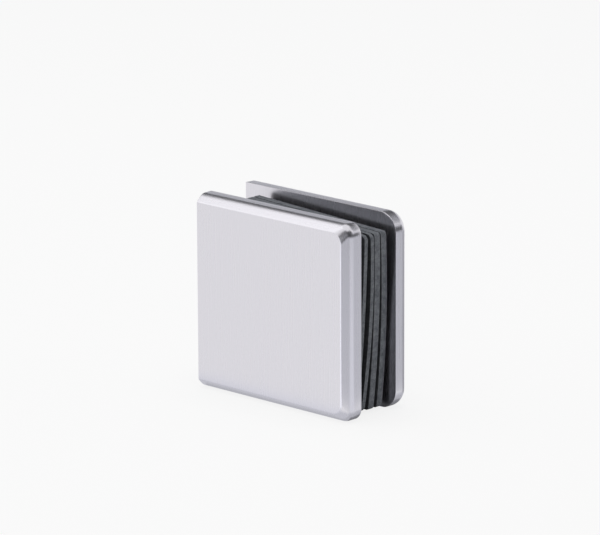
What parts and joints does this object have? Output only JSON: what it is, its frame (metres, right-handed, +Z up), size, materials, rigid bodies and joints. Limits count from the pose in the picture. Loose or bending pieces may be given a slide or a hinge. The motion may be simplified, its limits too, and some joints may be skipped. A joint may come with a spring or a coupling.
{
  "type": "glass-to-wall connector",
  "caption": "Square satin steel clamp that holds the edge of a glass panel to a wall: bevelled cover plate, back plate with wall web, clamp screw and loose rubber gaskets.",
  "frame": {"origin": "on the wall plane, at mid-height and in the middle of the slot for the glass, midway between the wall screws", "axes": "+X away from the wall along the glass, +Y through the glass from the cover plate to the back plate, +Z up"},
  "size_m": [0.051, 0.0231, 0.05],
  "materials": {
    "satin_steel": "satin brushed stainless steel",
    "screw_steel": "plain stainless steel screw",
    "nylon": "natural white nylon",
    "gasket_rubber": "matt dark grey sheet rubber"
  },
  "bodies": {
    "wall_side": {"wall_bracket": "satin_steel", "screw_sleeve": "nylon", "thin_gasket_front": "gasket_rubber", "thin_gasket_rear": "gasket_rubber", "thick_gasket_front": "gasket_rubber", "thick_gasket_rear": "gasket_rubber"},
    "cover_side": {"front_plate": "satin_steel"},
    "screw": {"clamp_screw": "screw_steel"}
  },
  "joints": [
    {"name": "clamp_screw_turn", "type": "hinge", "parent": "wall_side", "child": "screw", "pos_m": [0.02722, 0, 0], "axis": [0, 1, 0], "range_deg": [-360, 2160]},
    {"name": "front_plate_travel", "type": "slide", "parent": "wall_side", "child": "cover_side", "axis": [0, -1, 0], "range_m": [-0.001, 0.006]}
  ],
  "couplings": [
    {"joint": "clamp_screw_turn", "follows": "front_plate_travel", "rad_per_m": 6283.2}
  ]
}
